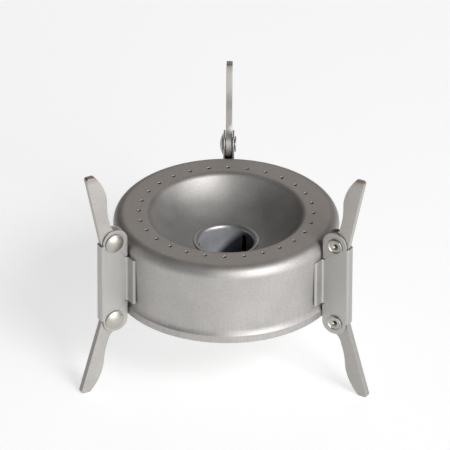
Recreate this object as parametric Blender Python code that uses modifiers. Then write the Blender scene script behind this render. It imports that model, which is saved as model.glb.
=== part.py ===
"""Folding-leg spirit burner: a pressed titanium stove on three riveted brackets.

A drawn shell with a dished top and a ring of jet holes is closed from below by a pan, and a
slotted feed tube joins the dish to the pan. Each bracket is welded to the wall and carries a
pot support above and a leg below, both turning on rivets.

Lengths are in metres. +Z is up and Z = 0 is the underside of the pan's floor, on the burner's
axis. One bracket stands on +Y, and the other two follow at 120 degree steps.
"""

import math

import bmesh
import bpy
from mathutils import Matrix, Vector

MM = 0.001

# ---- driving dimensions -------------------------------------------------------------------
BODY_RADIUS = 35.0 * MM          # outside of the wall, at the shoulder
BODY_HEIGHT = 26.3 * MM          # top ring to the bottom of the seam
SHEET = 0.35 * MM                # pressed sheet of the shell, pan and feed tube
PAN_RECESS = 2.4 * MM            # seam's bottom edge to the pan floor's underside
BLADE_THICKNESS = 1.9 * MM
GAP = 0.15 * MM                  # between pieces that touch
SIDE_CLEARANCE = 0.2 * MM        # each side of a blade, inside its bracket

STATIONS = 3
FIRST_STATION = 90.0             # degrees, counted from +X
SUPPORT_SPLAY = 12.0             # degrees outward from vertical, against the bracket's edge
LEG_SPLAY = 17.0
STOP_SLACK = 0.5                 # degrees a blade could still open before it meets the edge

TOP = BODY_HEIGHT - PAN_RECESS   # height of the flat ring that carries the jets
BOTTOM = -PAN_RECESS             # height of the seam's bottom edge

# ---- shell --------------------------------------------------------------------------------
SHOULDER_RADIUS = 3.7 * MM
RING_INNER_RADIUS = 25.1 * MM    # where the flat ring starts to turn down into the dish
DISH_LIP_RADIUS = 2.5 * MM
DISH_SPHERE_RADIUS = 29.4 * MM
DISH_HOLE_RADIUS = 9.15 * MM
WALL_FOOT_RADIUS = 34.5 * MM     # the wall narrows a little towards its foot
SEAM_RADIUS = 35.2 * MM
SEAM_HEIGHT = 2.6 * MM
COVE_HEIGHT = 2.1 * MM           # concave flare from the wall out to the seam
SEAM_CURL_RADIUS = 0.6 * MM
SEAM_LIP_RADIUS = 33.6 * MM      # inner edge of the lip turned in under the pan

JET_COUNT = 28
JET_CIRCLE_RADIUS = 27.0 * MM
JET_RADIUS = 0.55 * MM

# ---- pan and feed tube --------------------------------------------------------------------
PAN_CORNER_RADIUS = 1.6 * MM
TUBE_RADIUS = 8.9 * MM           # outside
TUBE_CURL_RADIUS = 1.3 * MM      # from the flange down into the bore, on the visible side
TUBE_FLANGE_RADIUS = 10.2 * MM
SLOT_COUNT = 3
SLOT_WIDTH = 2.0 * MM
SLOT_TOP_DEPTH = 12.4 * MM       # below the flat ring
FIRST_SLOT = 50.5                # degrees

# ---- brackets -----------------------------------------------------------------------------
PIVOT_RADIUS = 40.1 * MM         # from the burner's axis
PIVOT_SPACING = 27.4 * MM        # upper pivot to lower pivot
BRACKET_MIDDLE = TOP - 12.9 * MM
BRACKET_SHEET = 0.5 * MM
CHEEK_TOP_REACH = 4.45 * MM      # the cheeks reach this far past the pivots
CHEEK_FOOT_REACH = 4.0 * MM
CHEEK_INNER_RADIUS = 35.6 * MM   # where the cheeks stop beyond the flanges
CHEEK_CORNER_RADIUS = 3.8 * MM
FLANGE_HEIGHT = 15.6 * MM
FLANGE_REACH = 5.1 * MM          # free edge of a flange, from the bracket's middle plane
FLANGE_CORNER_RADIUS = 0.5 * MM
FLANGE_SLIT = 0.35 * MM          # relief between a flange and the cheek above or below it
WEB_BEND_RADIUS = 0.45 * MM      # bends between web and cheeks, on the middle of the sheet
FLANGE_BEND_RADIUS = 0.85 * MM   # bends between cheeks and flanges, likewise

# ---- blades: the pot supports and the legs ------------------------------------------------
HUB_RADIUS = 4.0 * MM
BLADE_REACH = 26.35 * MM         # pivot to the outer corner of the tip
NECK_DEPTH = 0.22 * MM           # inner edge past the pivot's line, at the neck
NECK_AT = 9.2 * MM
NECK_CURVE = 21.0 * MM
HUB_FILLET = 4.0 * MM
BULGE_DEPTH = 1.2 * MM
BULGE_AT = 17.3 * MM
BULGE_CURVE = 16.2 * MM
TIP_OUTER_ROUND = 0.8 * MM
TIP_INNER_ROUND = 1.2 * MM

# ---- rivets -------------------------------------------------------------------------------
SHANK_RADIUS = 1.5 * MM
BORE_CLEARANCE = 0.1 * MM
HEAD_RADIUS = 3.25 * MM
HEAD_HEIGHT = 1.0 * MM
TAIL_RADIUS = 2.5 * MM
TAIL_HEIGHT = 0.45 * MM
TAIL_HOLE_RADIUS = 0.9 * MM
TAIL_HOLE_DEPTH = 2.2 * MM

# ---- facets -------------------------------------------------------------------------------
BODY_STEPS = 48                  # round the burner's axis
TUBE_STEPS = 36
RIVET_STEPS = 16
MERGE = 0.00001

CHANNEL_HALF = BLADE_THICKNESS / 2 + SIDE_CLEARANCE
CHEEK_FACE = CHANNEL_HALF + BRACKET_SHEET
WEB_INNER = HUB_RADIUS + 0.05 * MM


# ---- scene and materials ------------------------------------------------------------------
def clear_scene():
    for obj in list(bpy.data.objects):
        bpy.data.objects.remove(obj, do_unlink=True)


def new_collection(name):
    collection = bpy.data.collections.new(name)
    bpy.context.scene.collection.children.link(collection)
    return collection


def metal(name, colour, roughness):
    material = bpy.data.materials.new(name)
    material.use_nodes = True
    shader = material.node_tree.nodes["Principled BSDF"]
    shader.inputs["Base Color"].default_value = (*colour, 1.0)
    shader.inputs["Roughness"].default_value = roughness
    shader.inputs["Metallic"].default_value = 1.0
    return material


# ---- outlines -----------------------------------------------------------------------------
def arc(centre, radius, start, end, pieces):
    """Points along an arc, angles in degrees, both ends included."""
    angles = [math.radians(start + (end - start) * i / pieces) for i in range(pieces + 1)]
    return [Vector((centre[0] + radius * math.cos(a), centre[1] + radius * math.sin(a)))
            for a in angles]


def rounded(corners, pieces=4):
    """A closed outline from (x, y, radius) corners, each corner turned into an arc."""
    outline = []
    for i, (x, y, radius) in enumerate(corners):
        here = Vector((x, y))
        before = Vector(corners[i - 1][:2]) - here
        after = Vector(corners[(i + 1) % len(corners)][:2]) - here
        if radius == 0:
            outline.append(here)
            continue
        before.normalize()
        after.normalize()
        half = before.angle(after) / 2
        centre = here + (before + after).normalized() * radius / math.sin(half)
        first = here + before * radius / math.tan(half) - centre
        last = here + after * radius / math.tan(half) - centre
        turn = first.angle_signed(last)
        for k in range(pieces + 1):
            angle = -turn * k / pieces
            outline.append(centre + Matrix.Rotation(angle, 2) @ first)
    return outline


# ---- makers -------------------------------------------------------------------------------
def add_object(name, mesh, collection, material=None):
    obj = bpy.data.objects.new(name, mesh)
    collection.objects.link(obj)
    if material is not None:
        obj.data.materials.append(material)
    return obj


def profile_object(name, points, collection, material=None, closed=False):
    """A profile in the XZ plane, as a chain of edges, ready for a Screw modifier."""
    mesh = bpy.data.meshes.new(name)
    edges = [(i, i + 1) for i in range(len(points) - 1)]
    if closed:
        edges.append((len(points) - 1, 0))
    mesh.from_pydata([(p[0], 0.0, p[1]) for p in points], edges, [])
    return add_object(name, mesh, collection, material)


def add_screw(obj, steps, flip=False):
    screw = obj.modifiers.new("turn", "SCREW")
    screw.axis = "Z"
    screw.steps = steps
    screw.render_steps = steps
    screw.use_merge_vertices = True
    screw.merge_threshold = MERGE
    screw.use_normal_calculate = True
    screw.use_normal_flip = flip


def add_sheet(obj, thickness):
    """Sheet thickness on the inner side of an open surface."""
    solidify = obj.modifiers.new("sheet", "SOLIDIFY")
    solidify.thickness = thickness
    solidify.offset = -1.0
    solidify.use_even_offset = True


def add_boolean(obj, operation, cutter):
    boolean = obj.modifiers.new(operation.lower(), "BOOLEAN")
    boolean.operation = operation
    boolean.solver = "EXACT"
    boolean.object = cutter


def bake(obj):
    """The object's mesh with its modifiers applied, for copies that share it."""
    graph = bpy.context.evaluated_depsgraph_get()
    mesh = bpy.data.meshes.new_from_object(obj.evaluated_get(graph))
    return mesh


def plate_mesh(name, outlines, half_thickness, collection):
    """A flat plate in the XY plane, thick along Z. The first outline is its edge, the rest are holes."""
    curve = bpy.data.curves.new(name, "CURVE")
    curve.dimensions = "2D"
    curve.fill_mode = "BOTH"
    curve.extrude = half_thickness
    for outline in outlines:
        spline = curve.splines.new("POLY")
        spline.points.add(len(outline) - 1)
        for point, place in zip(spline.points, outline):
            point.co = (place[0], place[1], 0.0, 1.0)
        spline.use_cyclic_u = True
    obj = bpy.data.objects.new(name, curve)
    collection.objects.link(obj)
    bpy.context.view_layer.update()
    mesh = bake(obj)
    bpy.data.objects.remove(obj, do_unlink=True)
    shape = bmesh.new()
    shape.from_mesh(mesh)
    bmesh.ops.remove_doubles(shape, verts=shape.verts, dist=MERGE / 10)
    bmesh.ops.recalc_face_normals(shape, faces=shape.faces)
    shape.to_mesh(mesh)
    shape.free()
    return mesh


def cylinder_mesh(name, radius, length, steps):
    shape = bmesh.new()
    bmesh.ops.create_cone(shape, cap_ends=True, segments=steps, radius1=radius,
                          radius2=radius, depth=length)
    mesh = bpy.data.meshes.new(name)
    shape.to_mesh(mesh)
    shape.free()
    return mesh


def make_cutter(name, mesh, collection):
    obj = add_object(name, mesh, collection)
    obj.hide_render = True
    obj.display_type = "WIRE"
    return obj


def joined_mesh(name, mesh, matrices):
    """One mesh holding a copy of another at each matrix."""
    shape = bmesh.new()
    for matrix in matrices:
        copy = mesh.copy()
        copy.transform(matrix)
        shape.from_mesh(copy)
        bpy.data.meshes.remove(copy)
    joined = bpy.data.meshes.new(name)
    shape.to_mesh(joined)
    shape.free()
    return joined


def shade_round(mesh, sharp_degrees=30.0):
    mesh.shade_smooth()
    mesh.set_sharp_from_angle(angle=math.radians(sharp_degrees))


# ---- the burner's body --------------------------------------------------------------------
def dish_sphere():
    """Height of the dish's sphere centre, and the slope in degrees where the lip meets it."""
    reach = DISH_SPHERE_RADIUS + DISH_LIP_RADIUS
    slope = math.asin(RING_INNER_RADIUS / reach)
    return TOP - DISH_LIP_RADIUS + reach * math.cos(slope), math.degrees(slope)


def dish_height(radius):
    centre, _ = dish_sphere()
    return centre - math.sqrt(DISH_SPHERE_RADIUS ** 2 - radius ** 2)


def dish_slope(radius):
    return math.degrees(math.asin(radius / DISH_SPHERE_RADIUS))


def shell_profile():
    """Outer face of the shell, from the dish's hole over the ring and down to the seam."""
    centre, slope = dish_sphere()
    hole = dish_slope(DISH_HOLE_RADIUS)
    bowl = arc((0, centre), DISH_SPHERE_RADIUS, hole - 90, slope - 90, 6)
    lip = arc((RING_INNER_RADIUS, TOP - DISH_LIP_RADIUS), DISH_LIP_RADIUS, 90 + slope, 90, 4)
    shoulder = arc((BODY_RADIUS - SHOULDER_RADIUS, TOP - SHOULDER_RADIUS),
                   SHOULDER_RADIUS, 90, 0, 5)
    flare = SEAM_RADIUS - WALL_FOOT_RADIUS
    cove_turn = 2 * math.degrees(math.atan(flare / COVE_HEIGHT))
    cove_curve = COVE_HEIGHT / math.sin(math.radians(cove_turn))
    seam_top = BOTTOM + SEAM_HEIGHT
    cove = arc((WALL_FOOT_RADIUS + cove_curve, seam_top + COVE_HEIGHT),
               cove_curve, 180, 180 + cove_turn, 3)
    curl = arc((SEAM_RADIUS - SEAM_CURL_RADIUS, BOTTOM + SEAM_CURL_RADIUS),
               SEAM_CURL_RADIUS, 0, -90, 3)
    edge = [Vector((SEAM_LIP_RADIUS, BOTTOM))]
    return bowl + lip[1:] + shoulder + cove + curl + edge


def make_shell(parts, cutters, material):
    points = shell_profile()
    shell = profile_object("burner_shell", points, parts, material)
    add_screw(shell, BODY_STEPS)
    add_sheet(shell, SHEET)
    jet = cylinder_mesh("jet", JET_RADIUS, 6 * SHEET, 8)
    places = []
    for i in range(JET_COUNT):
        angle = math.radians(FIRST_STATION) + 2 * math.pi * i / JET_COUNT
        turn = Matrix.Rotation(angle, 4, "Z")
        places.append(turn @ Matrix.Translation((JET_CIRCLE_RADIUS, 0, TOP)))
    jets = make_cutter("jet_cutters", joined_mesh("jet_cutters", jet, places), cutters)
    add_boolean(shell, "DIFFERENCE", jets)
    return shell


def make_pan(parts, material):
    """Pan pressed up into the seam: a flat floor with a skirt that stands on the seam's lip."""
    outer = SEAM_RADIUS - SHEET - GAP
    corner = arc((outer - PAN_CORNER_RADIUS, SHEET - PAN_CORNER_RADIUS),
                 PAN_CORNER_RADIUS, 90, 0, 4)
    foot = Vector((outer, BOTTOM + SHEET + GAP))
    hub = Vector((0.0, SHEET))
    pan = profile_object("base_pan", [hub] + corner + [foot], parts, material)
    add_screw(pan, BODY_STEPS)
    add_sheet(pan, SHEET)
    return pan


def tube_profile():
    """Visible face of the feed tube: the flange on the dish, the curl and the bore."""
    bore = TUBE_RADIUS - SHEET
    lean = dish_slope(TUBE_FLANGE_RADIUS)
    curl_centre_radius = bore + TUBE_CURL_RADIUS
    start = curl_centre_radius + TUBE_CURL_RADIUS * math.sin(math.radians(-lean))
    flange_top = dish_height(TUBE_FLANGE_RADIUS) + GAP + SHEET
    run = TUBE_FLANGE_RADIUS - start
    start_height = flange_top - run * math.tan(math.radians(lean))
    centre = (curl_centre_radius, start_height - TUBE_CURL_RADIUS * math.cos(math.radians(lean)))
    curl = arc(centre, TUBE_CURL_RADIUS, 90 + lean, 180, 5)
    foot = Vector((bore, SHEET + 2 * GAP))
    return [foot] + curl[::-1] + [Vector((TUBE_FLANGE_RADIUS, flange_top))]


def make_tube(parts, cutters, material):
    points = tube_profile()
    tube = profile_object("feed_tube", points, parts, material)
    add_screw(tube, TUBE_STEPS)
    add_sheet(tube, SHEET)
    top = TOP - SLOT_TOP_DEPTH - SLOT_WIDTH / 2
    outline = arc((0, top), SLOT_WIDTH / 2, 0, 180, 6)
    outline += [Vector((-SLOT_WIDTH / 2, -MM)), Vector((SLOT_WIDTH / 2, -MM))]
    slot = plate_mesh("slot", [outline], 2 * MM, cutters)
    upright = Matrix.Rotation(math.pi / 2, 4, "X")
    places = []
    for i in range(SLOT_COUNT):
        angle = math.radians(FIRST_SLOT + 360 * i / SLOT_COUNT)
        turn = Matrix.Rotation(angle, 4, "Z") @ Matrix.Translation((TUBE_RADIUS, 0, 0))
        places.append(turn @ Matrix.Rotation(math.pi / 2, 4, "Z") @ upright)
    slots = make_cutter("slot_cutters", joined_mesh("slot_cutters", slot, places), cutters)
    add_boolean(tube, "DIFFERENCE", slots)
    return tube


# ---- brackets -----------------------------------------------------------------------------
def stop_offset(splay):
    """How far short of the pivot the web's edge stops, so that a blade rests at this splay."""
    lean = math.radians(splay + STOP_SLACK)
    return (HUB_RADIUS - WEB_INNER * math.cos(lean)) / math.sin(lean)


class HatSection:
    """The bracket's section on the middle of its sheet, measured along the sheet.

    X is outward from the pivots and Y along the hinge. Distances start at the web's centre: first
    half of the web, then a bend, a cheek, a wide bend and a flange that follows the wall.
    """

    def __init__(self):
        self.web_x = WEB_INNER + BRACKET_SHEET / 2
        self.cheek_y = CHANNEL_HALF + BRACKET_SHEET / 2
        self.wrap = BODY_RADIUS + GAP + BRACKET_SHEET / 2
        reach = self.wrap + FLANGE_BEND_RADIUS
        self.bend_y = self.cheek_y + FLANGE_BEND_RADIUS
        self.bend_x = math.sqrt(reach ** 2 - self.bend_y ** 2) - PIVOT_RADIUS
        self.bend_turn = math.atan2(self.bend_y, self.bend_x + PIVOT_RADIUS)
        self.web = self.cheek_y - WEB_BEND_RADIUS
        self.web_bend = self.web + WEB_BEND_RADIUS * math.pi / 2
        self.cheek = self.along(self.bend_x)
        self.flange_bend = self.cheek + FLANGE_BEND_RADIUS * (math.pi / 2 - self.bend_turn)
        reach_turn = math.asin(FLANGE_REACH / self.wrap)
        self.flange = self.flange_bend + self.wrap * (reach_turn - self.bend_turn)

    def along(self, x):
        """Distance along the sheet of the place on a cheek at this X."""
        return self.web_bend + self.web_x - WEB_BEND_RADIUS - x

    def bends(self):
        """Distances at which the flat sheet is creased, on one side."""
        creases = []
        for start, end, pieces in ((self.web, self.web_bend, 3),
                                   (self.cheek, self.flange_bend, 5)):
            creases += [start + (end - start) * i / pieces for i in range(pieces + 1)]
        return creases

    def place(self, distance, bent=True):
        """The point at a distance along the sheet, and the outer side's direction there."""
        side, u = math.copysign(1, distance), abs(distance)
        if u <= self.web:
            point, normal = (self.web_x, u), (1, 0)
        elif u <= self.web_bend:
            turn = (u - self.web) / WEB_BEND_RADIUS
            normal = (math.cos(turn), math.sin(turn))
            point = (self.web_x + WEB_BEND_RADIUS * (normal[0] - 1),
                     self.web + WEB_BEND_RADIUS * normal[1])
        elif u <= self.cheek or not bent:
            point = (self.web_x - WEB_BEND_RADIUS - (u - self.web_bend), self.cheek_y)
            normal = (0, 1)
        elif u <= self.flange_bend:
            turn = math.pi / 2 - (u - self.cheek) / FLANGE_BEND_RADIUS
            normal = (math.cos(turn), math.sin(turn))
            point = (self.bend_x - FLANGE_BEND_RADIUS * normal[0],
                     self.bend_y - FLANGE_BEND_RADIUS * normal[1])
        else:
            turn = self.bend_turn + (u - self.flange_bend) / self.wrap
            normal = (math.cos(turn), math.sin(turn))
            point = (self.wrap * normal[0] - PIVOT_RADIUS, self.wrap * normal[1])
        return Vector((point[0], side * point[1])), Vector((normal[0], side * normal[1]))


def bracket_blank(section):
    """Outline of the bracket before it is bent: distance along the sheet, and height."""
    top = PIVOT_SPACING / 2 + CHEEK_TOP_REACH
    foot = -PIVOT_SPACING / 2 - CHEEK_FOOT_REACH
    web_top = PIVOT_SPACING / 2 - stop_offset(SUPPORT_SPLAY)
    web_foot = -PIVOT_SPACING / 2 + stop_offset(LEG_SPLAY)
    flange = FLANGE_HEIGHT / 2
    slit = flange + FLANGE_SLIT
    near = section.web_bend
    ear = section.along(CHEEK_INNER_RADIUS - PIVOT_RADIUS)
    root = section.cheek
    corner = CHEEK_CORNER_RADIUS
    half = [
        (near, web_foot, 0), (near, foot, corner), (ear, foot, corner), (ear, -slit, 0),
        (root, -slit, 0), (root, -flange, 0), (section.flange, -flange, FLANGE_CORNER_RADIUS),
        (section.flange, flange, FLANGE_CORNER_RADIUS), (root, flange, 0), (root, slit, 0),
        (ear, slit, 0), (ear, top, corner), (near, top, corner), (near, web_top, 0),
    ]
    mirrored = [(-u, height, radius) for u, height, radius in reversed(half)]
    return rounded(half + mirrored, pieces=5)


def bracket_mesh(cutters):
    """Bracket about its middle plane, X outward from the pivots and Z up: a blank, then bent."""
    section = HatSection()
    outlines = [bracket_blank(section)]
    for side in (1, -1):
        for up in (1, -1):
            centre = (side * section.along(0.0), up * PIVOT_SPACING / 2)
            outlines.append(arc(centre, SHANK_RADIUS + BORE_CLEARANCE, 0, 360, 16)[:-1])
    mesh = plate_mesh("bracket", outlines, BRACKET_SHEET / 2, cutters)
    shape = bmesh.new()
    shape.from_mesh(mesh)
    bmesh.ops.dissolve_limit(shape, angle_limit=0.001, verts=shape.verts, edges=shape.edges)
    for crease in section.bends():
        for side in (1, -1):
            bmesh.ops.bisect_plane(shape, geom=[*shape.verts, *shape.edges, *shape.faces],
                                   dist=MERGE / 100, plane_co=(side * crease, 0, 0),
                                   plane_no=(1, 0, 0))
    bmesh.ops.remove_doubles(shape, verts=shape.verts, dist=MERGE / 10)
    bmesh.ops.triangulate(shape, faces=shape.faces, ngon_method="EAR_CLIP")
    for vert in shape.verts:
        distance, height, through = vert.co
        bent = abs(height) < (FLANGE_HEIGHT + FLANGE_SLIT) / 2
        point, normal = section.place(distance, bent)
        point += normal * through
        vert.co = (point.x, point.y, height)
    bmesh.ops.recalc_face_normals(shape, faces=shape.faces)
    shape.to_mesh(mesh)
    shape.free()
    return mesh


# ---- blades -------------------------------------------------------------------------------
def blade_inner_edge():
    """Inner edge from the hub to near the tip: fillet, hollow neck, then a long bulge."""
    fillet_height = NECK_DEPTH + HUB_FILLET
    fillet_along = math.sqrt((HUB_RADIUS + HUB_FILLET) ** 2 - fillet_height ** 2)
    start = math.degrees(math.atan2(fillet_height, fillet_along)) + 180
    fillet = arc((fillet_along, fillet_height), HUB_FILLET, start, 262, 5)
    neck = arc((NECK_AT, NECK_DEPTH + NECK_CURVE), NECK_CURVE, 267, 284, 5)
    bulge = arc((BULGE_AT, BULGE_DEPTH - BULGE_CURVE), BULGE_CURVE, 95, 66, 7)
    return fillet + neck + bulge


def blade_outline(splay):
    """Blade from its pivot along +X, with its inner edge on +Y. The tip is cut level."""
    inner = blade_inner_edge()
    last, before = inner[-1], inner[-2]
    lean = math.tan(math.radians(splay))
    slope = (last[1] - before[1]) / (last[0] - before[0])
    outer_y = -HUB_RADIUS
    tip_x = BLADE_REACH
    # the tip's line is x = tip_x - (y - outer_y) * lean, and the inner edge runs on straight
    reach = (tip_x - last[0] - (last[1] - outer_y) * lean) / (1 + slope * lean)
    corner = (last[0] + reach, last[1] + reach * slope)
    tip = rounded([
        (*before, 0),
        (*corner, TIP_INNER_ROUND),
        (tip_x, outer_y, TIP_OUTER_ROUND),
        (0.0, outer_y, 0),
    ], pieces=4)
    heel_end = math.degrees(math.atan2(inner[0][1], inner[0][0]))
    heel = arc((0, 0), HUB_RADIUS, 270, heel_end, 12)
    return inner[:-1] + tip[1:-1] + heel[:-1]


def blade_mesh(name, splay, cutters):
    """Blade standing up along +Z from its pivot, inner edge on -X, thick along Y."""
    hole = arc((0, 0), SHANK_RADIUS + BORE_CLEARANCE, 0, 360, 24)[:-1]
    mesh = plate_mesh(name, [blade_outline(splay), hole], BLADE_THICKNESS / 2, cutters)
    # local X (along) becomes +Z, local Y (inner side) becomes -X
    frame = Matrix(((0, -1, 0, 0), (0, 0, -1, 0), (1, 0, 0, 0), (0, 0, 0, 1)))
    mesh.transform(frame)
    mesh.flip_normals() if frame.to_3x3().determinant() < 0 else None
    return mesh


# ---- rivets -------------------------------------------------------------------------------
def rivet_profile():
    """Half section along the rivet's axis: dome head at the top, rolled hollow tail below."""
    head_under = CHEEK_FACE + GAP
    tail_top = -CHEEK_FACE - GAP
    curve = (HEAD_RADIUS ** 2 + HEAD_HEIGHT ** 2) / (2 * HEAD_HEIGHT)
    spread = math.degrees(math.asin(HEAD_RADIUS / curve))
    dome = arc((0, head_under + HEAD_HEIGHT - curve), curve, 90, 90 - spread, 5)
    dome[0] = Vector((0.0, head_under + HEAD_HEIGHT))
    rim = [Vector((HEAD_RADIUS, head_under)), Vector((SHANK_RADIUS, head_under))]
    roll_radius = TAIL_HEIGHT / 2
    roll = arc((TAIL_RADIUS - roll_radius, tail_top - roll_radius), roll_radius, 90, -90, 4)
    tail_bottom = tail_top - TAIL_HEIGHT
    hollow = [
        Vector((TAIL_HOLE_RADIUS + roll_radius, tail_bottom)),
        Vector((TAIL_HOLE_RADIUS, tail_bottom + roll_radius)),
        Vector((TAIL_HOLE_RADIUS, tail_bottom + TAIL_HOLE_DEPTH)),
        Vector((0.0, tail_bottom + TAIL_HOLE_DEPTH)),
    ]
    return dome[:-1] + rim + [Vector((SHANK_RADIUS, tail_top))] + roll + hollow


def rivet_mesh(cutters):
    """Rivet along Y with its head on +Y."""
    rivet = profile_object("rivet_turned", rivet_profile(), cutters)
    add_screw(rivet, RIVET_STEPS, flip=True)
    bpy.context.view_layer.update()
    mesh = bake(rivet)
    bpy.data.objects.remove(rivet, do_unlink=True)
    mesh.transform(Matrix.Rotation(-math.pi / 2, 4, "X"))
    return mesh


# ---- assembly -----------------------------------------------------------------------------
def station_empty(number, parts):
    empty = bpy.data.objects.new(f"station_{number}", None)
    empty.rotation_euler = (0, 0, math.radians(FIRST_STATION + 360 * (number - 1) / STATIONS))
    parts.objects.link(empty)
    return empty


def place(obj, parent, height, tilt=0.0, flip=False):
    """Puts a piece on a station, its origin on the pivot circle at a height."""
    obj.parent = parent
    obj.location = (PIVOT_RADIUS, 0, height)
    turn = Matrix.Rotation(math.radians(tilt), 4, "Y")
    if flip:
        turn = Matrix.Rotation(math.pi, 4, "X") @ turn
    obj.rotation_euler = turn.to_euler()


def main():
    clear_scene()
    parts = new_collection("folding_spirit_burner")
    cutters = new_collection("cutters")
    pressed = metal("pressed_titanium", (0.52, 0.50, 0.48), 0.42)
    bore = metal("tube_titanium", (0.50, 0.50, 0.51), 0.35)
    sheet = metal("bracket_titanium", (0.58, 0.57, 0.56), 0.38)
    blade = metal("blade_titanium", (0.60, 0.58, 0.56), 0.45)
    rivet = metal("rivet_steel", (0.78, 0.76, 0.72), 0.22)

    make_shell(parts, cutters, pressed)
    make_pan(parts, pressed)
    make_tube(parts, cutters, bore)

    bracket = bracket_mesh(cutters)
    support = blade_mesh("support_blade", SUPPORT_SPLAY, cutters)
    leg = blade_mesh("leg_blade", LEG_SPLAY, cutters)
    pin = rivet_mesh(cutters)
    for mesh, material in ((bracket, sheet), (support, blade), (leg, blade), (pin, rivet)):
        mesh.materials.clear()
        mesh.materials.append(material)
        shade_round(mesh)

    upper = BRACKET_MIDDLE + PIVOT_SPACING / 2
    lower = BRACKET_MIDDLE - PIVOT_SPACING / 2
    for number in range(1, STATIONS + 1):
        station = station_empty(number, parts)
        place(add_object(f"bracket_{number}", bracket, parts), station, BRACKET_MIDDLE)
        place(add_object(f"pot_support_{number}", support, parts), station, upper,
              tilt=SUPPORT_SPLAY)
        place(add_object(f"leg_{number}", leg, parts), station, lower,
              tilt=LEG_SPLAY, flip=True)
        place(add_object(f"upper_rivet_{number}", pin, parts), station, upper)
        place(add_object(f"lower_rivet_{number}", pin, parts), station, lower)


main()
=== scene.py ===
"""Looks of the folding spirit burner: blasted titanium shell, satin brackets and rivets.

Every piece is built here at full detail in the row frame (metres, +Z up, Z = 0 on the underside
of the pan's floor) and stands for the CAD node of the same name.
"""

import math

import bmesh
import bpy
from mathutils import Matrix, Vector

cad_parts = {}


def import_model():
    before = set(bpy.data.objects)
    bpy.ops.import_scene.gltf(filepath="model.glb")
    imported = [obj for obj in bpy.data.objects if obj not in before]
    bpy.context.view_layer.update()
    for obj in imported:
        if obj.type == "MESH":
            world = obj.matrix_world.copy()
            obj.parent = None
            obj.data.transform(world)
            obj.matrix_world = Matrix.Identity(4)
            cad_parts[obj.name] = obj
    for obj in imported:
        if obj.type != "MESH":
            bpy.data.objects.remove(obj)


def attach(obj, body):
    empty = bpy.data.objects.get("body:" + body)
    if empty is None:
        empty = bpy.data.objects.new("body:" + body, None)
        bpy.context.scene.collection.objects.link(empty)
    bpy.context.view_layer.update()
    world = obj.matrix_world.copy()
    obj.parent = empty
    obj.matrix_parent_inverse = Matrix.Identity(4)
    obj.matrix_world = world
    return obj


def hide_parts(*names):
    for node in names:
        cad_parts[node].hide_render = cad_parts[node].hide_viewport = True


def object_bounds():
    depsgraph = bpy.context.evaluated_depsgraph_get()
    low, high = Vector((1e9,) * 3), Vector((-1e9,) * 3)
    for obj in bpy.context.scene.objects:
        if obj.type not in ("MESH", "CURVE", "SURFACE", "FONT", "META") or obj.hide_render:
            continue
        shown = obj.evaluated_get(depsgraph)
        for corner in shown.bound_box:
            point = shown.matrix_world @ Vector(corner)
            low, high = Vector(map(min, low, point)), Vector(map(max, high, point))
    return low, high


MM = 0.001

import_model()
CAD_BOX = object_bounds()

# ---- sizes shared with the CAD --------------------------------------------------------------
TOP = 23.9 * MM                  # flat ring with the jets
BOTTOM = -2.4 * MM               # seam's bottom edge
SHEET = 0.35 * MM
GAP = 0.15 * MM

BODY_RADIUS = 35.0 * MM
SHOULDER_RADIUS = 3.7 * MM
RING_INNER_RADIUS = 25.1 * MM
DISH_LIP_RADIUS = 2.5 * MM
DISH_SPHERE_RADIUS = 29.4 * MM
DISH_HOLE_RADIUS = 9.15 * MM
WALL_FOOT_RADIUS = 34.5 * MM
SEAM_RADIUS = 35.2 * MM
SEAM_HEIGHT = 2.6 * MM
COVE_HEIGHT = 2.1 * MM
SEAM_CURL_RADIUS = 0.6 * MM
SEAM_LIP_RADIUS = 33.6 * MM
JET_COUNT = 28
JET_CIRCLE_RADIUS = 27.0 * MM
JET_RADIUS = 0.55 * MM
JET_BORE = JET_RADIUS - 0.05 * MM
JET_MOUTH = JET_RADIUS + 0.07 * MM
JET_MOUTH_DEPTH = 0.14 * MM

PAN_CORNER_RADIUS = 1.6 * MM
TUBE_RADIUS = 8.9 * MM
TUBE_CURL_RADIUS = 1.3 * MM
TUBE_FLANGE_RADIUS = 10.2 * MM
TUBE_EDGE_INSET = 0.3 * MM       # the flange's edge is turned down
TUBE_EDGE_DROP = 0.12 * MM
PAINTED_BORE_REACH = TUBE_RADIUS - 0.85 * SHEET  # faces nearer the axis get the bore's painted light and shade
SLOT_COUNT = 3
SLOT_WIDTH = 2.0 * MM
SLOT_TOP_DEPTH = 12.4 * MM
SLOT_CUTTER_HALF = 2 * MM
SLOT_CUTTER_EDGE = 0.01 * MM
FIRST_SLOT = 50.5

STATIONS = 3
FIRST_STATION = 90.0
PIVOT_RADIUS = 40.1 * MM
PIVOT_SPACING = 27.4 * MM
BRACKET_MIDDLE = TOP - 12.9 * MM
SUPPORT_SPLAY = 12.0
LEG_SPLAY = 17.0
STOP_SLACK = 0.5

BRACKET_SHEET = 0.5 * MM
BLADE_THICKNESS = 1.9 * MM
SIDE_CLEARANCE = 0.2 * MM
HUB_RADIUS = 4.0 * MM
WEB_INNER = HUB_RADIUS + 0.05 * MM
WEB_BEND = 0.45 * MM             # bend radii on the sheet's middle
FLANGE_BEND = 1.0 * MM
CHEEK_TOP_REACH = 4.45 * MM
CHEEK_FOOT_REACH = 4.0 * MM
CHEEK_INNER_RADIUS = 35.6 * MM
CHEEK_CORNER_RADIUS = 3.8 * MM
FLANGE_HEIGHT = 15.6 * MM
FLANGE_REACH = 5.1 * MM
FLANGE_CORNER = 0.5 * MM
RELIEF = 0.35 * MM
RELIEF_OVERLAP = 0.05 * MM
BRACKET_CORNER = 0.12 * MM       # the small corners of the bracket's outline
BRACKET_EDGE = 0.09 * MM
BEAD = 0.65 * MM                 # weld bead down the free edge of a flange
BEAD_CURVE = 1.6
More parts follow.
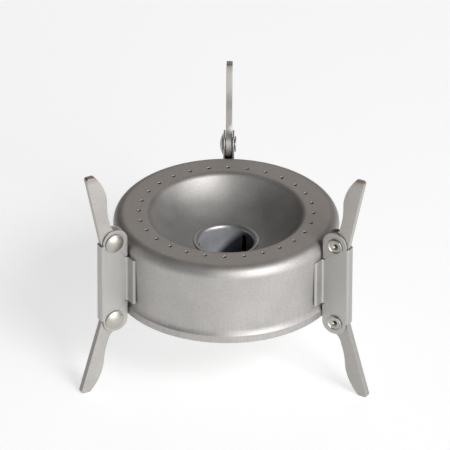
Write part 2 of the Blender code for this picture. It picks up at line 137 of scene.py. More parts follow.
BEAD_SINK = 0.13 * MM            # the flange's inner face comes this much nearer the wall

BLADE_REACH = 26.35 * MM
NECK_DEPTH = 0.22 * MM
NECK_AT = 9.2 * MM
NECK_CURVE = 21.0 * MM
HUB_FILLET = 4.0 * MM
BULGE_DEPTH = 1.2 * MM
BULGE_AT = 17.3 * MM
BULGE_CURVE = 16.2 * MM
TIP_OUTER_ROUND = 0.8 * MM
TIP_INNER_ROUND = 1.2 * MM
FILLET_END = 262                 # directions, in degrees, where the arcs of the inner edge meet
NECK_START, NECK_END = 267, 284
BULGE_START, BULGE_END = 95, 66
BLADE_EDGE = 0.14 * MM

SHANK_RADIUS = 1.5 * MM
BORE_CLEARANCE = 0.1 * MM
HEAD_RADIUS = 3.25 * MM
HEAD_HEIGHT = 1.0 * MM
HEAD_EDGE = 0.12 * MM
TAIL_RADIUS = 2.5 * MM
TAIL_HEIGHT = 0.45 * MM
TAIL_ROLL_END = -160
TAIL_LEDGE_INSET = 0.62 * MM
TAIL_FUNNEL_DEPTH = 0.55 * MM
TAIL_FUNNEL_SAG = 0.22 * MM
TAIL_THROAT = 0.55 * MM
TAIL_HOLE_DEPTH = 2.2 * MM
TAIL_HOLE_CHAMFER = 0.2 * MM

CHANNEL_HALF = BLADE_THICKNESS / 2 + SIDE_CLEARANCE
CHEEK_FACE = CHANNEL_HALF + BRACKET_SHEET

BODY_STEPS = 180
TUBE_STEPS = 120
RIVET_STEPS = 56
JET_STEPS = 24
HOLE_STEPS = 32

# ---- surface grain --------------------------------------------------------------------------
NOISE_LOW, NOISE_HIGH = 0.3, 0.7  # the band of a noise that carries its variation
CLOUD_SIZE = 9 * MM
SPECK_SIZE = 0.55 * MM
ROUGH_CLOUD, ROUGH_GRAIN = 0.07, 0.06
STREAK_WIDTH = 0.5 * MM
STREAK_SQUASH = 0.06             # heights are scaled by this, which draws the noise out upwards
STREAK_TOP = 7 * MM
STREAK_REST = 0.12               # what is left of the streaks above that height
STREAK_RELIEF = 0.8
TINT_LEAST = 0.7               # strength of the tint where it is thinnest; in the bore it thins the painted light

# ---- camera and studio ----------------------------------------------------------------------
CAMERA_AZIMUTH, CAMERA_ELEVATION, CAMERA_ROLL = 1.0, 30.85, 0.25
CAMERA_DISTANCE = 2.8
CAMERA_LEFT, CAMERA_DOWN = 0.40 * MM, 4.11 * MM  # where it aims, from the middle of the ring
FOCAL_PER_METRE = 258.9          # focal length in mm for each metre of distance
SENSOR_WIDTH = 36.0
LIGHT_DISTANCE = 1.6
FLOOR_HALF = 4.0
FLOOR_GAP = 0.02 * MM
FLOOR_GREY = 0.45
FLOOR_GLOW = 0.68
SKY_STRENGTH = 0.03


# ---- outlines -------------------------------------------------------------------------------
def arc(centre, radius, start, end, pieces):
    angles = [math.radians(start + (end - start) * i / pieces) for i in range(pieces + 1)]
    return [Vector((centre[0] + radius * math.cos(a), centre[1] + radius * math.sin(a)))
            for a in angles]


def rounded(corners, pieces=8):
    """A closed outline from (x, y, radius) corners, each corner turned into an arc."""
    outline = []
    for i, (x, y, radius) in enumerate(corners):
        here = Vector((x, y))
        if radius == 0:
            outline.append(here)
            continue
        before = (Vector(corners[i - 1][:2]) - here).normalized()
        after = (Vector(corners[(i + 1) % len(corners)][:2]) - here).normalized()
        half = before.angle(after) / 2
        centre = here + (before + after).normalized() * radius / math.sin(half)
        first = here + before * radius / math.tan(half) - centre
        last = here + after * radius / math.tan(half) - centre
        turn = first.angle_signed(last)
        for k in range(pieces + 1):
            outline.append(centre + Matrix.Rotation(-turn * k / pieces, 2) @ first)
    return outline


def held(points, reach=0.15 * MM, longest=1.0 * MM):
    """The same line with extra points near the ends of long straight runs, to hold the shading."""
    out = [points[0]]
    for here, there in zip(points, points[1:]):
        step = there - here
        if step.length > longest:
            out += [here + step.normalized() * reach, there - step.normalized() * reach]
        out.append(there)
    return out


def offset(points, distance):
    """The line moved sideways, to the right of its direction."""
    out = []
    for i, point in enumerate(points):
        before = (point - points[i - 1]).normalized() if i else None
        after = (points[i + 1] - point).normalized() if i + 1 < len(points) else None
        along = ((before or after) + (after or before)).normalized()
        side = Vector((along.y, -along.x))
        first = before or after
        out.append(point + side * distance / max(0.2, side.dot(Vector((first.y, -first.x)))))
    return out


# ---- makers ---------------------------------------------------------------------------------
def new_object(name, mesh):
    obj = bpy.data.objects.new(name, mesh)
    bpy.context.scene.collection.objects.link(obj)
    return obj


def lathe(name, profile, steps):
    """Turns a closed profile of (radius, height) points round Z."""
    shape = bmesh.new()
    columns = []
    for i in range(steps):
        angle = 2 * math.pi * i / steps
        c, s = math.cos(angle), math.sin(angle)
        columns.append([shape.verts.new((p[0] * c, p[0] * s, p[1])) for p in profile])
    for i in range(steps):
        here, there = columns[i], columns[(i + 1) % steps]
        for k in range(len(profile)):
            j = (k + 1) % len(profile)
            if profile[k][0] < 1e-7 and profile[j][0] < 1e-7:
                continue
            shape.faces.new((here[k], there[k], there[j], here[j]))
    bmesh.ops.remove_doubles(shape, verts=shape.verts, dist=1e-7)
    bmesh.ops.dissolve_degenerate(shape, edges=shape.edges, dist=1e-8)
    bmesh.ops.recalc_face_normals(shape, faces=shape.faces)
    mesh = bpy.data.meshes.new(name)
    shape.to_mesh(mesh)
    shape.free()
    return mesh


def sheet_profile(points, thickness):
    """Closed section of a sheet whose visible face runs along the points."""
    return points + offset(points, thickness)[::-1]


def plate(name, outlines, half, edge, pieces=3):
    """A plate in the XY plane with softened edges. Outer outline anticlockwise, holes clockwise."""
    shape = bmesh.new()
    levels = []
    for k in range(pieces + 1):
        turn = math.pi / 2 * k / pieces
        levels.append((edge * (1 - math.sin(turn)), -half + edge * (1 - math.cos(turn))))
    levels += [(inset, -height) for inset, height in reversed(levels)]
    caps = ([], [])
    for outline in outlines:
        rings = []
        for inset, height in levels:
            ring = []
            count = len(outline)
            for i in range(count):
                before = (outline[i] - outline[i - 1]).normalized()
                after = (outline[(i + 1) % count] - outline[i]).normalized()
                along = (before + after).normalized()
                inward = Vector((-along.y, along.x))
                lean = max(0.5, inward.dot(Vector((-before.y, before.x))))
                place = outline[i] + inward * inset / lean
                ring.append(shape.verts.new((place.x, place.y, height)))
            rings.append(ring)
        for low, high in zip(rings, rings[1:]):
            for i in range(len(outline)):
                j = (i + 1) % len(outline)
                shape.faces.new((low[i], low[j], high[j], high[i]))
        for cap, ring in zip(caps, (rings[0], rings[-1])):
            cap += [shape.edges.get((ring[i - 1], ring[i])) for i in range(len(ring))]
    for cap in caps:
        bmesh.ops.triangle_fill(shape, use_beauty=True, edges=cap)
    bmesh.ops.recalc_face_normals(shape, faces=shape.faces)
    mesh = bpy.data.meshes.new(name)
    shape.to_mesh(mesh)
    shape.free()
    return mesh


def joined(name, mesh, matrices):
    shape = bmesh.new()
    for matrix in matrices:
        copy = mesh.copy()
        copy.transform(matrix)
        shape.from_mesh(copy)
        bpy.data.meshes.remove(copy)
    out = bpy.data.meshes.new(name)
    shape.to_mesh(out)
    shape.free()
    return out


def cut(mesh, cutter_mesh):
    """The mesh with the cutter's shape taken out of it."""
    body, cutter = new_object("body", mesh), new_object("cutter", cutter_mesh)
    boolean = body.modifiers.new("cut", "BOOLEAN")
    boolean.operation = "DIFFERENCE"
    boolean.solver = "EXACT"
    boolean.object = cutter
    bpy.context.view_layer.update()
    graph = bpy.context.evaluated_depsgraph_get()
    out = bpy.data.meshes.new_from_object(body.evaluated_get(graph))
    bpy.data.objects.remove(body)
    bpy.data.objects.remove(cutter)
    return out


def flat_faced(mesh):
    """The mesh with normals that follow its large faces, so that flats next to bends stay flat."""
    body = new_object("body", mesh)
    weigh = body.modifiers.new("weigh", "WEIGHTED_NORMAL")
    weigh.keep_sharp = True
    bpy.context.view_layer.update()
    graph = bpy.context.evaluated_depsgraph_get()
    out = bpy.data.meshes.new_from_object(body.evaluated_get(graph))
    bpy.data.objects.remove(body)
    return out


def piece(name, mesh, body, material, sharp=32.0, flat=False):
    """Puts a mesh on its CAD body in place of the node of the same name. Sharp is in degrees."""
    mesh.materials.clear()
    mesh.materials.append(material)
    mesh.shade_smooth()
    mesh.set_sharp_from_angle(angle=math.radians(sharp))
    if flat:
        mesh = flat_faced(mesh)
    obj = new_object(name + "_look", mesh)
    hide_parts(name)
    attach(obj, body)
    return obj


# ---- materials ------------------------------------------------------------------------------
def blasted_metal(name, colour, roughness, metallic=1.0, grain=0.22 * MM, bump=6e-6,
                  mottle=0.06, streaks=0.0, tint_and_painted_light=None):
    """Bare metal with a fine blasted grain, faint clouding and, if asked for, drawing streaks.

    The streaks run up and down and fade out above the flare at the foot of the wall. The tint is
    given as two heights, between which it sets in, its colour, and how fast the heights rise towards
    +X. It is a heat tint on the support tips and a warmer tone on the shell's flat ring. In the bore
    it is painted light and shade: the near-black base colour paints the shade inside the tube, and
    the tint paints the lit wall above the rim's shadow, whose edge climbs towards +X.
    """
    material = bpy.data.materials.new(name)
    material.use_nodes = True
    nodes, links = material.node_tree.nodes, material.node_tree.links
    shader = nodes["Principled BSDF"]
    shader.inputs["Metallic"].default_value = metallic
    place = nodes.new("ShaderNodeTexCoord")
    split = nodes.new("ShaderNodeSeparateXYZ")
    links.new(place.outputs["Object"], split.inputs["Vector"])

    def noise(size, detail=2.0, source=None):
        node = nodes.new("ShaderNodeTexNoise")
        node.inputs["Scale"].default_value = 1.0 / size
        node.inputs["Detail"].default_value = detail
        links.new(source or place.outputs["Object"], node.inputs["Vector"])
        return node.outputs["Fac"]

    def spread(value, low, high):
        node = nodes.new("ShaderNodeMapRange")
        node.inputs["From Min"].default_value = NOISE_LOW
        node.inputs["From Max"].default_value = NOISE_HIGH
        node.inputs["To Min"].default_value = low
        node.inputs["To Max"].default_value = high
        links.new(value, node.inputs["Value"])
        return node.outputs["Result"]

    def math_node(kind, first, second):
        node = nodes.new("ShaderNodeMath")
        node.operation = kind
        for socket, value in zip(node.inputs, (first, second)):
            if isinstance(value, (int, float)):
                socket.default_value = value
            else:
                links.new(value, socket)
        return node.outputs["Value"]

    fine = noise(grain, 3.0)
    cloud = noise(CLOUD_SIZE, 4.0)
    speck = noise(SPECK_SIZE, 3.0)
    shade = math_node("MULTIPLY", spread(cloud, 1 - mottle, 1 + mottle),
                      spread(speck, 1 - mottle, 1 + mottle))
    rough = math_node("MULTIPLY", spread(cloud, roughness * (1 - ROUGH_CLOUD),
                                         roughness * (1 + ROUGH_CLOUD)),
                      spread(fine, 1 - ROUGH_GRAIN, 1 + ROUGH_GRAIN))
    height = fine
    if streaks:
        turn = math_node("ARCTAN2", split.outputs["Y"], split.outputs["X"])
        around = math_node("MULTIPLY", turn, BODY_RADIUS)
        join = nodes.new("ShaderNodeCombineXYZ")
        links.new(around, join.inputs["X"])
        links.new(math_node("MULTIPLY", split.outputs["Z"], STREAK_SQUASH), join.inputs["Z"])
        lines = noise(STREAK_WIDTH, 2.0, join.outputs["Vector"])
        fade = nodes.new("ShaderNodeMapRange")
        fade.inputs["From Min"].default_value = BOTTOM + SEAM_HEIGHT
        fade.inputs["From Max"].default_value = STREAK_TOP
        fade.inputs["To Min"].default_value = 1.0
        fade.inputs["To Max"].default_value = STREAK_REST
        links.new(split.outputs["Z"], fade.inputs["Value"])
        centred = math_node("SUBTRACT", lines, 0.5)
        drawn = math_node("MULTIPLY", centred, fade.outputs["Result"])
        darkened = math_node("MULTIPLY", drawn, streaks)
        shade = math_node("MULTIPLY", shade, math_node("ADD", 1.0, darkened))
        height = math_node("ADD", fine, math_node("MULTIPLY", drawn, STREAK_RELIEF))
    mix = nodes.new("ShaderNodeMix")
    mix.data_type = "RGBA"
    mix.blend_type = "MULTIPLY"
    mix.inputs[0].default_value = 1.0
    mix.inputs[6].default_value = (*colour, 1.0)
    if tint_and_painted_light:
        low, high, tint, lean = tint_and_painted_light
        depth = nodes.new("ShaderNodeMapRange")
        depth.inputs["From Min"].default_value = low
        depth.inputs["From Max"].default_value = high
        leaned = math_node("MULTIPLY", split.outputs["X"], lean)
        links.new(math_node("SUBTRACT", split.outputs["Z"], leaned), depth.inputs["Value"])
        tinted = nodes.new("ShaderNodeMix")
        tinted.data_type = "RGBA"
        tinted.inputs[6].default_value = (*colour, 1.0)
        tinted.inputs[7].default_value = (*tint, 1.0)
        links.new(math_node("MULTIPLY", depth.outputs["Result"], spread(cloud, TINT_LEAST, 1.0)),
                  tinted.inputs[0])
        links.new(tinted.outputs[2], mix.inputs[6])
    grey = nodes.new("ShaderNodeCombineColor")
    for socket in ("Red", "Green", "Blue"):
        links.new(shade, grey.inputs[socket])
    links.new(grey.outputs["Color"], mix.inputs[7])
    links.new(mix.outputs[2], shader.inputs["Base Color"])
    links.new(rough, shader.inputs["Roughness"])
    relief = nodes.new("ShaderNodeBump")
    relief.inputs["Strength"].default_value = 1.0
    relief.inputs["Distance"].default_value = bump
    links.new(height, relief.inputs["Height"])
    links.new(relief.outputs["Normal"], shader.inputs["Normal"])
    return material


# ---- shell, pan and tube --------------------------------------------------------------------
def dish_sphere():
    reach = DISH_SPHERE_RADIUS + DISH_LIP_RADIUS
    slope = math.asin(RING_INNER_RADIUS / reach)
    return TOP - DISH_LIP_RADIUS + reach * math.cos(slope), math.degrees(slope)


def dish_height(radius):
    return dish_sphere()[0] - math.sqrt(DISH_SPHERE_RADIUS ** 2 - radius ** 2)


def dish_slope(radius):
    return math.degrees(math.asin(radius / DISH_SPHERE_RADIUS))


def shell_profile():
    """Visible face from the dish's hole over the ring and down to the seam's lip."""
    centre, slope = dish_sphere()
    bowl = arc((0, centre), DISH_SPHERE_RADIUS, dish_slope(DISH_HOLE_RADIUS) - 90,
               slope - 90, 22)
    lip = arc((RING_INNER_RADIUS, TOP - DISH_LIP_RADIUS), DISH_LIP_RADIUS, 90 + slope, 90, 12)
    shoulder = arc((BODY_RADIUS - SHOULDER_RADIUS, TOP - SHOULDER_RADIUS),
                   SHOULDER_RADIUS, 90, 0, 18)
    flare = SEAM_RADIUS - WALL_FOOT_RADIUS
    cove_turn = 2 * math.degrees(math.atan(flare / COVE_HEIGHT))
    cove_curve = COVE_HEIGHT / math.sin(math.radians(cove_turn))
    seam_top = BOTTOM + SEAM_HEIGHT
    cove = arc((WALL_FOOT_RADIUS + cove_curve, seam_top + COVE_HEIGHT),
               cove_curve, 180, 180 + cove_turn, 8)
    curl = arc((SEAM_RADIUS - SEAM_CURL_RADIUS, BOTTOM + SEAM_CURL_RADIUS),
               SEAM_CURL_RADIUS, 0, -90, 6)
    edge = [Vector((SEAM_LIP_RADIUS, BOTTOM))]
    return held(bowl + lip[1:] + shoulder + cove + curl + edge)


def shell_mesh():
    solid = lathe("burner_shell", sheet_profile(shell_profile(), SHEET), BODY_STEPS)
    jet = lathe("jet", [(0, MM), (JET_MOUTH + MM, MM), (JET_MOUTH, 0.0),
                        (JET_BORE, -JET_MOUTH_DEPTH), (JET_BORE, -MM), (0, -MM)], JET_STEPS)
    places = []
    for i in range(JET_COUNT):
        angle = math.radians(FIRST_STATION) + 2 * math.pi * i / JET_COUNT
        places.append(Matrix.Rotation(angle, 4, "Z")
                      @ Matrix.Translation((JET_CIRCLE_RADIUS, 0, TOP)))
    return cut(solid, joined("jets", jet, places))


def pan_mesh():
    outer = SEAM_RADIUS - SHEET - GAP
    corner = arc((outer - PAN_CORNER_RADIUS, SHEET - PAN_CORNER_RADIUS),
                 PAN_CORNER_RADIUS, 90, 0, 10)
    foot = Vector((outer, BOTTOM + SHEET + GAP))
    points = held([Vector((0.0, SHEET))] + corner + [foot])
    return lathe("base_pan", sheet_profile(points, SHEET), BODY_STEPS)


def tube_mesh():
    bore = TUBE_RADIUS - SHEET
    lean = dish_slope(TUBE_FLANGE_RADIUS)
    curl_middle = bore + TUBE_CURL_RADIUS
    start = curl_middle - TUBE_CURL_RADIUS * math.sin(math.radians(lean))
    flange_top = dish_height(TUBE_FLANGE_RADIUS) + GAP + SHEET
    start_height = flange_top - (TUBE_FLANGE_RADIUS - start) * math.tan(math.radians(lean))
    centre = (curl_middle, start_height - TUBE_CURL_RADIUS * math.cos(math.radians(lean)))
    curl = arc(centre, TUBE_CURL_RADIUS, 90 + lean, 180, 12)
    points = [Vector((bore, SHEET + 2 * GAP))] + curl[::-1]
    points = held(points + [Vector((TUBE_FLANGE_RADIUS - TUBE_EDGE_INSET,
                                    flange_top - TUBE_EDGE_DROP))])
    under = offset(points, SHEET)
    middle = (points[-1] + under[-1]) / 2
    roll = points[-1] - middle
    edge = [middle + Matrix.Rotation(math.radians(-turn), 2) @ roll for turn in range(20, 180, 20)]
    solid = lathe("feed_tube", points + edge + under[::-1], TUBE_STEPS)
    top = TOP - SLOT_TOP_DEPTH - SLOT_WIDTH / 2
    half = SLOT_WIDTH / 2
    outline = [Vector((-half, -MM)), Vector((half, -MM))] + arc((0, top), half, 0, 180, 16)
    slot = plate("slot", [outline], SLOT_CUTTER_HALF, SLOT_CUTTER_EDGE, 1)
    places = []
    for i in range(SLOT_COUNT):
        angle = math.radians(FIRST_SLOT + 360 * i / SLOT_COUNT)
        places.append(Matrix.Rotation(angle, 4, "Z") @ Matrix.Translation((TUBE_RADIUS, 0, 0))
                      @ Matrix.Rotation(math.pi / 2, 4, "Z") @ Matrix.Rotation(math.pi / 2, 4, "X"))
    return cut(solid, joined("slots", slot, places))


# ---- brackets -------------------------------------------------------------------------------
def stop_offset(splay):
    lean = math.radians(splay + STOP_SLACK)
    return (HUB_RADIUS - WEB_INNER * math.cos(lean)) / math.sin(lean)


class HatSection:
    """The bracket's section on the sheet's middle, measured along the sheet from the web's centre."""

    def __init__(self):
        self.web_x = WEB_INNER + BRACKET_SHEET / 2
        self.cheek_y = CHANNEL_HALF + BRACKET_SHEET / 2
        self.wrap = BODY_RADIUS + GAP + BRACKET_SHEET / 2
        reach = self.wrap + FLANGE_BEND
        self.bend_y = self.cheek_y + FLANGE_BEND
        self.bend_x = math.sqrt(reach ** 2 - self.bend_y ** 2) - PIVOT_RADIUS
        self.bend_turn = math.atan2(self.bend_y, self.bend_x + PIVOT_RADIUS)
        self.web = self.cheek_y - WEB_BEND
        self.web_bend = self.web + WEB_BEND * math.pi / 2
        self.cheek = self.web_bend + self.web_x - WEB_BEND - self.bend_x
        self.flange_bend = self.cheek + FLANGE_BEND * (math.pi / 2 - self.bend_turn)
        self.flange = self.flange_bend + self.wrap * (math.asin(FLANGE_REACH / self.wrap)
                                                      - self.bend_turn)

    def along(self, x):
        """Distance along the sheet of the place on a cheek at this x."""
        return self.web_bend + self.web_x - WEB_BEND - x

    def place(self, u, bent):
        """Point and outward normal at a distance along the sheet, the flanges bent or not."""
        side, u = math.copysign(1, u), abs(u)
        if u <= self.web:
            point, normal = (self.web_x, u), (1, 0)
        elif u <= self.web_bend:
            a = (u - self.web) / WEB_BEND
            point = (self.web_x - WEB_BEND + WEB_BEND * math.cos(a),
                     self.web + WEB_BEND * math.sin(a))
            normal = (math.cos(a), math.sin(a))
        elif u <= self.cheek or not bent:
            point = (self.web_x - WEB_BEND - (u - self.web_bend), self.cheek_y)
            normal = (0, 1)
        elif u <= self.flange_bend:
            a = -math.pi / 2 - (u - self.cheek) / FLANGE_BEND
            point = (self.bend_x + FLANGE_BEND * math.cos(a),
                     self.bend_y + FLANGE_BEND * math.sin(a))
            normal = (-math.cos(a), -math.sin(a))
        else:
            a = self.bend_turn + (u - self.flange_bend) / self.wrap
            point = (self.wrap * math.cos(a) - PIVOT_RADIUS, self.wrap * math.sin(a))
            normal = (math.cos(a), math.sin(a))
        return Vector((point[0], side * point[1])), Vector((normal[0], side * normal[1]))


def bracket_mesh():
    """Bracket about its middle, X outward from the pivots, made flat and then bent."""
    hat = HatSection()
    top = PIVOT_SPACING / 2 + CHEEK_TOP_REACH
    foot = -PIVOT_SPACING / 2 - CHEEK_FOOT_REACH
    web_top = PIVOT_SPACING / 2 - stop_offset(SUPPORT_SPLAY)
    web_foot = -PIVOT_SPACING / 2 + stop_offset(LEG_SPLAY)
    flange = FLANGE_HEIGHT / 2
    near = hat.web_bend
    ear = hat.along(CHEEK_INNER_RADIUS - PIVOT_RADIUS)
    neck = hat.cheek - RELIEF_OVERLAP
    corner, tiny = CHEEK_CORNER_RADIUS, BRACKET_CORNER
    half = [
        (near, web_foot, tiny), (near, foot, corner), (ear, foot, corner),
        (ear, -flange - RELIEF, tiny), (neck, -flange - RELIEF, tiny), (neck, -flange, tiny),
        (hat.flange, -flange, FLANGE_CORNER), (hat.flange, flange, FLANGE_CORNER),
        (neck, flange, tiny), (neck, flange + RELIEF, tiny), (ear, flange + RELIEF, tiny),
        (ear, top, corner), (near, top, corner), (near, web_top, tiny),
    ]
    mirrored = [(-u, v, radius) for u, v, radius in reversed(half)]
    outline = rounded(half + mirrored, 10)
    pivot_u = hat.along(0.0)
    holes = [arc((side * pivot_u, up * PIVOT_SPACING / 2), SHANK_RADIUS + BORE_CLEARANCE,
                 360, 0, HOLE_STEPS)[:-1] for side in (1, -1) for up in (1, -1)]
    mesh = plate("bracket", [outline, *holes], BRACKET_SHEET / 2, BRACKET_EDGE, 3)
    shape = bmesh.new()
    shape.from_mesh(mesh)
    cuts = []
    for start, end, pieces in ((hat.web, hat.web_bend, 8), (hat.cheek, hat.flange_bend, 12),
                               (hat.flange - BEAD, hat.flange, 6)):
        cuts += [start + (end - start) * i / pieces for i in range(pieces + 1)]
    for u in sorted(cuts):
        for side in (1, -1):
            bmesh.ops.bisect_plane(shape, geom=[*shape.verts, *shape.edges, *shape.faces],
                                   dist=1e-8, plane_co=(side * u, 0, 0), plane_no=(1, 0, 0))
    for vert in shape.verts:
        u, v, w = vert.co
        bent = abs(v) < flange + RELIEF / 2
        point, normal = hat.place(u, bent)
        if bent and abs(u) > hat.flange_bend:
            # a bead slopes from the flange's face down to the wall
            low = -BRACKET_SHEET / 2
            slope = max(0.0, (abs(u) - hat.flange + BEAD) / BEAD)
            w = low + (w - low) * (1 - slope ** BEAD_CURVE)
            if w < low / 2:
                w -= BEAD_SINK
        vert.co = (point.x + normal.x * w, point.y + normal.y * w, v)
    bmesh.ops.recalc_face_normals(shape, faces=shape.faces)
    shape.to_mesh(mesh)
    shape.free()
    return mesh


# ---- blades ---------------------------------------------------------------------------------
def blade_inner_edge():
    fillet_height = NECK_DEPTH + HUB_FILLET
    fillet_along = math.sqrt((HUB_RADIUS + HUB_FILLET) ** 2 - fillet_height ** 2)
    start = math.degrees(math.atan2(fillet_height, fillet_along)) + 180
    fillet = arc((fillet_along, fillet_height), HUB_FILLET, start, FILLET_END, 12)
    neck = arc((NECK_AT, NECK_DEPTH + NECK_CURVE), NECK_CURVE, NECK_START, NECK_END, 12)
    bulge = arc((BULGE_AT, BULGE_DEPTH - BULGE_CURVE), BULGE_CURVE, BULGE_START, BULGE_END, 18)
    return fillet + neck + bulge


def blade_mesh(name, splay):
    """Blade standing up along +Z from its pivot, inner edge on -X, tip cut level when splayed."""
    inner = blade_inner_edge()
    last, before = inner[-1], inner[-2]
    lean = math.tan(math.radians(splay))
    slope = (last.y - before.y) / (last.x - before.x)
    outer = -HUB_RADIUS
    reach = (BLADE_REACH - last.x - (last.y - outer) * lean) / (1 + slope * lean)
    corner = (last.x + reach, last.y + reach * slope)
    tip = rounded([(*before, 0), (*corner, TIP_INNER_ROUND),
                   (BLADE_REACH, outer, TIP_OUTER_ROUND), (0.0, outer, 0)], 10)
    heel_end = math.degrees(math.atan2(inner[0].y, inner[0].x))
    heel = arc((0, 0), HUB_RADIUS, 270, heel_end, HOLE_STEPS)
    outline = (inner[:-1] + tip[1:-1] + heel[:-1])[::-1]
    hole = arc((0, 0), SHANK_RADIUS + BORE_CLEARANCE, 360, 0, HOLE_STEPS)[:-1]
    mesh = plate(name, [outline, hole], BLADE_THICKNESS / 2, BLADE_EDGE, 4)
    mesh.transform(Matrix(((0, -1, 0, 0), (0, 0, -1, 0), (1, 0, 0, 0), (0, 0, 0, 1))))
    return mesh


# ---- rivets ---------------------------------------------------------------------------------
def rivet_mesh():
    """Rivet along Y with its dome on +Y and its rolled hollow tail on -Y."""
    under = CHEEK_FACE + GAP
    curve = (HEAD_RADIUS ** 2 + HEAD_HEIGHT ** 2) / (2 * HEAD_HEIGHT)
    spread = math.degrees(math.asin(HEAD_RADIUS / curve))
    dome = arc((0, under + HEAD_HEIGHT - curve), curve, 90, 90 - spread + 3, 24)
    dome[0] = Vector((0.0, under + HEAD_HEIGHT))
    edge = arc((HEAD_RADIUS - HEAD_EDGE, under + HEAD_EDGE), HEAD_EDGE, 35, -90, 5)
    tail = -CHEEK_FACE - GAP
    roll_radius = TAIL_HEIGHT / 2
    roll = arc((TAIL_RADIUS - roll_radius, tail - roll_radius), roll_radius,
               90, TAIL_ROLL_END, 18)
    ledge = Vector((TAIL_RADIUS - TAIL_LEDGE_INSET, tail - TAIL_HEIGHT / 4))
    bottom = Vector((TAIL_THROAT, tail + TAIL_FUNNEL_DEPTH))
    sag = Vector((-TAIL_FUNNEL_SAG, -TAIL_FUNNEL_SAG))
    funnel = [ledge] + [ledge.lerp(bottom, t) + sag * math.sin(math.pi * t)
                        for t in (0.15, 0.3, 0.45, 0.6, 0.75, 0.9)]
    well_end = tail - TAIL_HEIGHT + TAIL_HOLE_DEPTH
    well = [bottom, Vector((TAIL_THROAT, well_end - TAIL_HOLE_CHAMFER)),
            Vector((TAIL_THROAT - TAIL_HOLE_CHAMFER, well_end)), Vector((0.0, well_end))]
    shank = [Vector((SHANK_RADIUS, under)), Vector((SHANK_RADIUS, tail))]
    mesh = lathe("rivet", dome + edge + shank + roll + funnel + well, RIVET_STEPS)
    mesh.transform(Matrix.Rotation(-math.pi / 2, 4, "X"))
    return mesh


# ---- assembly -------------------------------------------------------------------------------
def station(number):
    angle = math.radians(FIRST_STATION + 360 * (number - 1) / STATIONS)
    return Matrix.Rotation(angle, 4, "Z") @ Matrix.Translation((PIVOT_RADIUS, 0, 0))


def placed(mesh, matrix):
    copy = mesh.copy()
    copy.transform(matrix)
    return copy


SHELL = blasted_metal("blasted_titanium", (0.465, 0.45, 0.437), 0.54, metallic=0.82,
                      grain=0.38 * MM, bump=1.8e-5, mottle=0.07, streaks=0.4,
                      tint_and_painted_light=(TOP - 1.2 * MM, TOP - 0.1 * MM, (0.45, 0.41, 0.38), 0))
TUBE = blasted_metal("tube_lip_titanium", (0.60, 0.59, 0.57), 0.50, bump=3e-6, mottle=0.03)
# The bore's colours are painted light and shade: near black for the shade inside the tube, and a
# light grey-blue above an edge that climbs towards +X, painting the lit wall and the rim's cast
# shadow.
BORE_PAINTED_LIGHT_AND_SHADE = blasted_metal("tube_bore_painted_light_and_shade", (0.03, 0.033, 0.045), 0.5, metallic=0.1, bump=3e-6,
                     tint_and_painted_light=(TOP - 18.2 * MM, TOP - 15.0 * MM, (0.57, 0.585, 0.62), 1.08))
BRACKET = blasted_metal("satin_sheet", (0.485, 0.475, 0.46), 0.50, metallic=0.95, bump=3e-6,
                        mottle=0.03)
SUPPORT = blasted_metal("support_plate", (0.49, 0.47, 0.445), 0.52, metallic=0.8, bump=7e-6,
                        tint_and_painted_light=(47.4 * MM, 49.6 * MM, (0.35, 0.29, 0.26), 0))
# The legs have the supports' metal, made darker and rougher: painted shade that keeps the legs near
# the lit floor from looking brighter than the supports.
LEG_PAINTED_SHADE = blasted_metal("leg_plate_painted_shade", (0.44, 0.425, 0.405), 0.58, metallic=0.75, bump=7e-6)
RIVET = blasted_metal("satin_rivet", (0.47, 0.455, 0.415), 0.42, bump=1.5e-6, mottle=0.03)

piece("burner_shell", shell_mesh(), "burner", SHELL)
piece("base_pan", pan_mesh(), "burner", SHELL)
tube = piece("feed_tube", tube_mesh(), "burner", TUBE)
# Faces inside the bore take the painted light and shade.
tube.data.materials.append(BORE_PAINTED_LIGHT_AND_SHADE)
for face in tube.data.polygons:
    reach = math.hypot(face.center.x, face.center.y)
    face.material_index = int(reach < PAINTED_BORE_REACH)

bracket, rivet = bracket_mesh(), rivet_mesh()
support, leg = blade_mesh("support", SUPPORT_SPLAY), blade_mesh("leg", LEG_SPLAY)
for number in range(1, STATIONS + 1):
    at = station(number)
    upper = at @ Matrix.Translation((0, 0, BRACKET_MIDDLE + PIVOT_SPACING / 2))
    lower = at @ Matrix.Translation((0, 0, BRACKET_MIDDLE - PIVOT_SPACING / 2))
    splay_up = Matrix.Rotation(math.radians(SUPPORT_SPLAY), 4, "Y")
    splay_down = Matrix.Rotation(math.pi, 4, "X") @ Matrix.Rotation(math.radians(LEG_SPLAY), 4, "Y")
    piece(f"bracket_{number}", placed(bracket, at @ Matrix.Translation((0, 0, BRACKET_MIDDLE))),
          "burner", BRACKET, flat=True)
    piece(f"pot_support_{number}", placed(support, upper @ splay_up),
          f"support_{number}", SUPPORT, flat=True)
    piece(f"leg_{number}", placed(leg, lower @ splay_down), f"leg_body_{number}", LEG_PAINTED_SHADE,
          flat=True)
    piece(f"upper_rivet_{number}", placed(rivet, upper), "burner", RIVET)
    piece(f"lower_rivet_{number}", placed(rivet, lower), "burner", RIVET)


# ---- floor, light and camera ----------------------------------------------------------------
def floor():
    shape = bmesh.new()
    bmesh.ops.create_grid(shape, x_segments=1, y_segments=1, size=FLOOR_HALF)
    mesh = bpy.data.meshes.new("floor")
    shape.to_mesh(mesh)
    shape.free()
    obj = new_object("floor", mesh)
    obj.location.z = CAD_BOX[0].z - FLOOR_GAP
    material = bpy.data.materials.new("floor")
    material.use_nodes = True
    shader = material.node_tree.nodes["Principled BSDF"]
    shader.inputs["Base Color"].default_value = (FLOOR_GREY, FLOOR_GREY, FLOOR_GREY, 1)
    shader.inputs["Emission Color"].default_value = (1, 1, 1, 1)
    shader.inputs["Emission Strength"].default_value = FLOOR_GLOW
    shader.inputs["Roughness"].default_value = 0.9
    shader.inputs["Specular IOR Level"].default_value = 0.1
    mesh.materials.append(material)


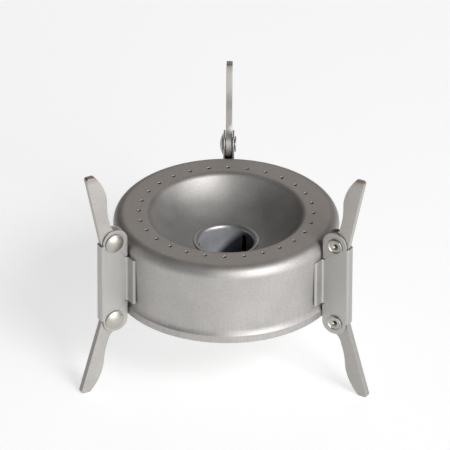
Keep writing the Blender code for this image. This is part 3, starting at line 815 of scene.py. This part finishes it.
def softbox(name, azimuth, elevation, size, power):
    """A rectangular light, aimed at the burner. Azimuth 0 is the front and 90 the right."""
    light = bpy.data.lights.new(name, "AREA")
    light.shape = "RECTANGLE"
    light.size, light.size_y = size
    light.energy = power
    obj = bpy.data.objects.new(name, light)
    bpy.context.scene.collection.objects.link(obj)
    a, e = math.radians(azimuth), math.radians(elevation)
    away = Vector((math.sin(a) * math.cos(e), -math.cos(a) * math.cos(e), math.sin(e)))
    obj.location = away * LIGHT_DISTANCE
    obj.rotation_euler = away.to_track_quat("Z", "Y").to_euler()


def world():
    sky = bpy.data.worlds.new("studio")
    sky.use_nodes = True
    bpy.context.scene.world = sky
    background = sky.node_tree.nodes["Background"]
    background.inputs["Color"].default_value = (1, 1, 1, 1)
    background.inputs["Strength"].default_value = SKY_STRENGTH


def camera():
    """A very long lens from above the front, aimed just below the ring's centre."""
    azimuth, elevation = math.radians(CAMERA_AZIMUTH), math.radians(CAMERA_ELEVATION)
    away = Vector((math.sin(azimuth) * math.cos(elevation),
                   -math.cos(azimuth) * math.cos(elevation), math.sin(elevation)))
    right = Vector((math.cos(azimuth), math.sin(azimuth), 0))
    up = away.cross(right)
    aim = Vector((0, 0, TOP)) - right * CAMERA_LEFT - up * CAMERA_DOWN
    lens = bpy.data.cameras.new("camera")
    lens.sensor_width = SENSOR_WIDTH
    lens.lens = FOCAL_PER_METRE * CAMERA_DISTANCE
    lens.clip_end = 20.0
    obj = bpy.data.objects.new("camera", lens)
    bpy.context.scene.collection.objects.link(obj)
    roll = Matrix.Rotation(math.radians(CAMERA_ROLL), 3, "Z")
    axes = Matrix((right, up, away)).transposed() @ roll
    obj.matrix_world = Matrix.Translation(aim + away * CAMERA_DISTANCE) @ axes.to_4x4()
    bpy.context.scene.camera = obj


floor()
world()
softbox("key", 37, 40, (0.6, 0.45), 15)
softbox("side", 66, 36, (0.9, 0.6), 2.6)
softbox("low", 36, 12, (1.2, 0.5), 13)
softbox("left", -80, 18, (0.9, 0.5), 0.8)
softbox("back", 180, 36, (1.0, 0.5), 2.2)
camera()
bpy.context.scene.view_settings.view_transform = "Standard"
